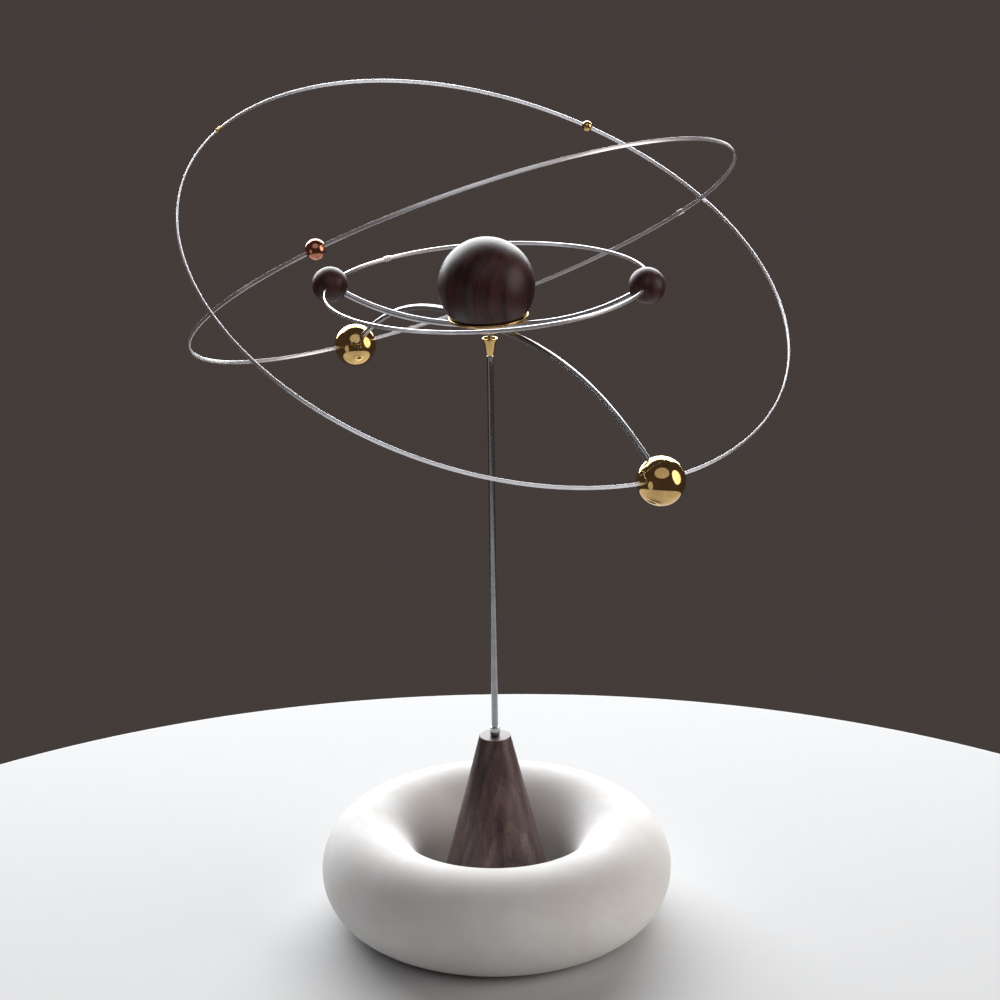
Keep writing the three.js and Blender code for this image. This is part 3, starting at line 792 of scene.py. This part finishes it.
def pilot_hole(reach):
    top = DISC_TOP + HUB_SCREW_LENGTH + 0.5
    foot = SUN_FOOT - 1
    mesh = lathe([(0, foot), (PILOT_HOLE_RADIUS, foot), (PILOT_HOLE_RADIUS, top), (0, top)], 24)
    mesh.transform(Matrix.Translation((reach, 0, 0)))
    return mesh


sun_centre = ON_PIVOT @ Vector((0, 0, SUN_HEIGHT))
sun_look = walnut(
    "walnut_sun_wood", sun_centre, (0.02, -0.05, 0.1), (70, -30, 0),
    spacing=4.2, tone=(0.44, 0.25, 0.33), figure=1.0, sheen=0.3,
)
sun = carved(lathe(eased(sun_profile), 224), [pilot_hole(reach) for reach in hub_screws.values()])
put("walnut_sun", sun, "mobile", sun_look, ["sun"], ON_PIVOT)

# ---- Hoops ----


def arm_end(spec):
    return direction(spec["bearing"]) * spec["reach"] + UP * spec["height"]


def hoop_frame(carrier, radius, bearing, rise_degrees, twist_degrees):
    """X points from the hoop's centre to the ball that carries it and Z along its axis."""
    inward = direction(bearing, rise_degrees)
    level = UP.cross(inward).normalized()
    axis = Matrix.Rotation(math.radians(-twist_degrees), 3, inward) @ inward.cross(level)
    centre = carrier + inward * radius + axis * STRIP_ABOVE_CENTRE
    return basis(-inward, axis.cross(-inward), axis, centre)


moon_direction = direction(MOON_DIRECTION_DEGREES)
small_frame = basis(moon_direction, UP.cross(moon_direction), UP, UP * MOON_HEIGHT)
mid_frame = hoop_frame(arm_end(ARMS["weight_far"]), MID_HOOP_RADIUS,
                       MID_HOOP_BEARING_DEGREES, MID_HOOP_RISE_DEGREES, MID_HOOP_TWIST_DEGREES)
large_frame = hoop_frame(arm_end(ARMS["weight_near"]), LARGE_HOOP_RADIUS,
                         LARGE_HOOP_BEARING_DEGREES, LARGE_HOOP_RISE_DEGREES, LARGE_HOOP_TWIST_DEGREES)
HOOPS = {
    "small": (MOON_REACH, small_frame, SMALL_SLEEVE_DEGREES, "steel"),
    "mid": (MID_HOOP_RADIUS, mid_frame, MID_SLEEVE_DEGREES, "steel"),
    "large": (LARGE_HOOP_RADIUS, large_frame, LARGE_SLEEVE_DEGREES, "brass"),
}


def on_hoop(size, degrees):
    radius, place = HOOPS[size][:2]
    return place @ Matrix.Rotation(math.radians(degrees), 4, "Z") @ Matrix.Translation((radius, 0, 0))


# A section's X is radial and its Y lies along the hoop's axis; the path runs round the hoop.
ALONG_HOOP = Matrix(((1, 0, 0, 0), (0, 0, -1, 0), (0, 1, 0, 0), (0, 0, 0, 1)))


SLOT_REACH = 1.5


def strip_mesh(size, section, start=0.0, end=360.0, steps=720):
    closed = end - start >= 360
    count = steps if closed else steps + 1
    frames = [on_hoop(size, start + (end - start) * i / steps) @ ALONG_HOOP for i in range(count)]
    return swept(section, frames, closed)


def slot_tool(size, degrees, ball_radius):
    """Cuts the hoop's slot through a ball, from well outside one side to well outside the other."""
    half_span = math.degrees(SLOT_REACH * ball_radius / HOOPS[size][0])
    half = (STRIP_THICKNESS / 2 + SLOT_CLEARANCE, STRIP_WIDTH / 2 + SLOT_CLEARANCE)
    return strip_mesh(size, rounded_rectangle(*half, 0.2, 3), degrees - half_span, degrees + half_span, 24)


strip_section = rounded_rectangle(STRIP_THICKNESS / 2, STRIP_WIDTH / 2, 0.06, 3)


def sleeve_mesh(size, degrees):
    """A short crimped tube on the hoop, pinched twice."""
    radius = HOOPS[size][0]
    wall = SLOT_CLEARANCE + SLEEVE_WALL
    outer = (STRIP_THICKNESS / 2 + wall, STRIP_WIDTH / 2 + wall)
    inner = (STRIP_THICKNESS / 2 + SLOT_CLEARANCE * 0.6, STRIP_WIDTH / 2 + SLOT_CLEARANCE * 0.6)
    steps = 36
    rings = []
    for i in range(steps + 1):
        t = i / steps
        pinch = sum(math.exp(-(((t - at) / 0.07) ** 2)) for at in (0.3, 0.7)) * 0.1
        ends = 0.08 * (math.exp(-t / 0.04) + math.exp(-(1 - t) / 0.04))
        rings.append(rounded_rectangle(outer[0] - pinch - ends, outer[1] - 0.4 * pinch - ends, 0.28))
    for i in range(steps, -1, -1):
        rings.append(rounded_rectangle(*inner, 0.2))
    span = math.degrees(SLEEVE_LENGTH / radius)
    points, faces = [], []
    count = len(rings[0])
    for i, section in enumerate(rings):
        t = (i if i <= steps else 2 * steps + 1 - i) / steps
        place = on_hoop(size, degrees + (t - 0.5) * span) @ ALONG_HOOP
        points += [place @ Vector((x, y, 0)) for x, y in section]
    for i in range(len(rings)):
        j = (i + 1) % len(rings)
        for k in range(count):
            n = (k + 1) % count
            faces.append([i * count + k, i * count + n, j * count + n, j * count + k])
    return mesh_from(points, faces)


SLEEVE_LOOKS = {"steel": steel_sleeve_look, "brass": turned_brass_look}
for size, (radius, place, sleeve_degrees, sleeve_slot) in HOOPS.items():
    strip_look = drawn_strip(f"steel_strip_{size}", ON_PIVOT @ place, *STRIP_STEEL_PAINTED_LIGHT, (0.31, 0.37))
    put(f"steel_hoop_{size}", strip_mesh(size, strip_section), "mobile", strip_look,
        [f"hoop_{size}"], ON_PIVOT)
    put(f"{sleeve_slot}_sleeve_{size}", sleeve_mesh(size, sleeve_degrees), "mobile",
        SLEEVE_LOOKS[sleeve_slot], [f"hoop_{size}_sleeve"], ON_PIVOT)

# ---- Moons, weights and riders ----


BALL_SUBDIVISIONS = 6
RIDER_SUBDIVISIONS = 5
GRUB_SCREW_RADIUS = 1
GRUB_SOCKET_RADIUS = 0.55
GRUB_POCKET_RADIUS = 1.3
GRUB_POCKET_DEPTH = 4.3


def carrier(radius, spec, size, degrees, extra=()):
    """A ball bored for its arm and slotted for its hoop."""
    end = spec["reach"] - ARM_END_SHORT_OF_CENTRE + GAP
    bore_tool = arm_mesh(spec, ARM_RADIUS + SLOT_CLEARANCE, spec["reach"] - radius - 4, end, 12, 40)
    ball = sphere(radius, arm_end(spec), BALL_SUBDIVISIONS)
    return carved(ball, [bore_tool, slot_tool(size, degrees, radius), *extra])


for side, degrees in (("left", 180), ("right", 0)):
    spec = ARMS[f"moon_{side}"]
    middle = ON_PIVOT @ arm_end(spec)
    turn = (0.4, 0.3, 1.1) if side == "left" else (-0.35, 0.25, -0.8)
    look = walnut(
        f"walnut_moon_wood_{side}", middle, turn, (14, -17, 0), spacing=2.2, tone=(0.46, 0.31, 0.42), sheen=0.25,
    )
    put(f"walnut_moon_{side}", carrier(MOON_RADIUS, spec, "small", degrees), "mobile", look,
        [f"moon_{side}"], ON_PIVOT, normals=ball_normals(arm_end(spec), MOON_RADIUS, ON_PIVOT))

for name, size in (("far", "mid"), ("near", "large")):
    spec = ARMS[f"weight_{name}"]
    at = Matrix.Translation(arm_end(spec))
    foot = -spec["radius"]
    pocket_top = foot + GRUB_POCKET_DEPTH
    pocket_tool = lathe([
        (0, foot - 1),
        (GRUB_POCKET_RADIUS, foot - 1),
        (GRUB_POCKET_RADIUS, pocket_top),
        (0, pocket_top),
    ], 40)
    pocket_tool.transform(at)
    weight = carrier(spec["radius"], spec, size, 0, [pocket_tool])
    put(f"brass_weight_{name}", weight, "mobile", ball_brass_look,
        [f"weight_{name}"], ON_PIVOT, normals=ball_normals(arm_end(spec), spec["radius"], ON_PIVOT))
    low, high = foot + 0.5, foot + 4
    socket = lathe([
        (0, foot - 1),
        (GRUB_SOCKET_RADIUS, foot - 1),
        (GRUB_SOCKET_RADIUS, foot + 1.6),
        (0, foot + 1.75),
    ], 6)
    grub_profile = [(0, low), (GRUB_SCREW_RADIUS, low, 0.15), (GRUB_SCREW_RADIUS, high, 0.2), (0, high)]
    grub = carved(lathe(eased(grub_profile), 40), [socket])
    grub.transform(at)
    put(f"steel_grub_screw_{name}", grub, "mobile", small_steel_look,
        [f"weight_{name}_grub_screw"], ON_PIVOT)


def rider(radius, size, degrees):
    place = on_hoop(size, degrees)
    mesh = carved(sphere(radius, place.translation, RIDER_SUBDIVISIONS), [slot_tool(size, degrees, radius)])
    return mesh, ball_normals(place.translation, radius, ON_PIVOT)


mesh, normals = rider(COPPER_BALL_RADIUS, "mid", COPPER_BALL_DEGREES)
put("copper_rider", mesh, "copper_ball", copper_look, ["copper_ball"], ON_PIVOT, normals=normals)
mesh, normals = rider(BRASS_BEAD_RADIUS, "large", BRASS_BEAD_DEGREES)
put("brass_rider", mesh, "brass_bead", ball_brass_look, ["brass_bead"], ON_PIVOT, normals=normals)

# ---- CAD nodes that stay, all inside the base ----

HIDDEN_LOOKS = {"base_washer": small_steel_look, "base_screw": small_steel_look, "cone_insert": turned_brass_look}
for name, look in HIDDEN_LOOKS.items():
    frame["nodes"][name].data.materials.clear()
    frame["nodes"][name].data.materials.append(look)

# ---- Floor, light and camera ----

FLOOR_RADIUS = 420
FLOOR_THICKNESS = 16
FLOOR_EDGE = 5
FLOOR_CENTRE = (0, -170, 0)


def floor_material():
    s = Shader("pale_floor", **{"IOR": 1.45, "Specular IOR Level": 0.3})
    mm = s.place((1 / MM,) * 3)
    tone = s.noise(mm, 0.02, 3.0)
    colour = s.mix(s.span(tone, 0.3, 0.7), (0.60, 0.605, 0.61), (0.64, 0.645, 0.65))
    grit = s.noise(mm, 2.5, 3.0)
    roughness = s.span(tone, 0.3, 0.7, 0.66, 0.74)
    return s.finish(**{"Base Color": colour, "Roughness": roughness, "Normal": s.bump(grit, 0.01, 0.2)})


floor_profile = [
    (0, -FLOOR_THICKNESS),
    (FLOOR_RADIUS, -FLOOR_THICKNESS, FLOOR_EDGE),
    (FLOOR_RADIUS, 0, FLOOR_EDGE),
    (0, 0),
]
floor_mesh = lathe(eased(floor_profile, 10), 256)
floor_mesh.transform(Matrix.Translation(FLOOR_CENTRE))
floor_mesh.transform(Matrix.Scale(MM, 4))
for face in floor_mesh.polygons:
    face.use_smooth = True
floor = bpy.data.objects.new("floor", floor_mesh)
floor_mesh.materials.append(floor_material())
bpy.context.scene.collection.objects.link(floor)


def soft_light(name, position, target, size, watts, colour, shape="RECTANGLE"):
    lamp = bpy.data.lights.new(name, "AREA")
    lamp.shape = shape
    lamp.size, lamp.size_y = size
    lamp.energy = watts
    lamp.color = colour
    obj = bpy.data.objects.new(name, lamp)
    obj.location = position
    obj.rotation_mode = "QUATERNION"
    obj.rotation_quaternion = (Vector(target) - Vector(position)).to_track_quat("-Z", "Y")
    obj.visible_camera = False
    bpy.context.scene.collection.objects.link(obj)


soft_light("window", (-0.3, 2.4, 1.3), (0, 0, 0.3), (3.9, 2.2), 205, (0.96, 0.98, 1.0))
soft_light("ceiling", (0.1, -1.4, 2.1), (0, 0, 0.1), (2.8, 2.2), 8, (0.96, 0.97, 1.0), "ELLIPSE")
soft_light("room_right", (2.3, -0.5, 0.9), (0, 0, 0.15), (1.9, 2.3), 26, (1.0, 0.93, 0.86), "ELLIPSE")
soft_light("room_left", (-1.6, -1.4, -0.1), (0, 0, 0.2), (0.9, 1.4), 1.5, (0.97, 0.98, 1.0), "ELLIPSE")

world = bpy.data.worlds.new("room")
bpy.context.scene.world = world
world.use_nodes = True
background = world.node_tree.nodes["Background"]
background.inputs["Color"].default_value = (0.058, 0.046, 0.042, 1)
background.inputs["Strength"].default_value = 1.0

CAMERA_POSITION = Vector((0, -1.0594, 0.5492))
CAMERA_PITCH = 0.3253
CAMERA_YAW = 0.0032
CAMERA_ROLL = -0.012
CAMERA_LENS = 95.695
SENSOR_WIDTH = 36

level_share = math.cos(CAMERA_PITCH)
ahead = Vector((math.sin(CAMERA_YAW) * level_share, math.cos(CAMERA_YAW) * level_share, -math.sin(CAMERA_PITCH)))
right = ahead.cross(UP).normalized()
above = right.cross(ahead)
rolled_right = math.cos(CAMERA_ROLL) * right + math.sin(CAMERA_ROLL) * above
rolled_above = math.cos(CAMERA_ROLL) * above - math.sin(CAMERA_ROLL) * right
lens = bpy.data.cameras.new("camera")
lens.lens = CAMERA_LENS
lens.sensor_width = SENSOR_WIDTH
camera = bpy.data.objects.new("camera", lens)
camera.matrix_world = basis(rolled_right, rolled_above, -ahead, CAMERA_POSITION)
bpy.context.scene.collection.objects.link(camera)
bpy.context.scene.camera = camera
bpy.context.scene.view_settings.view_transform = "Standard"
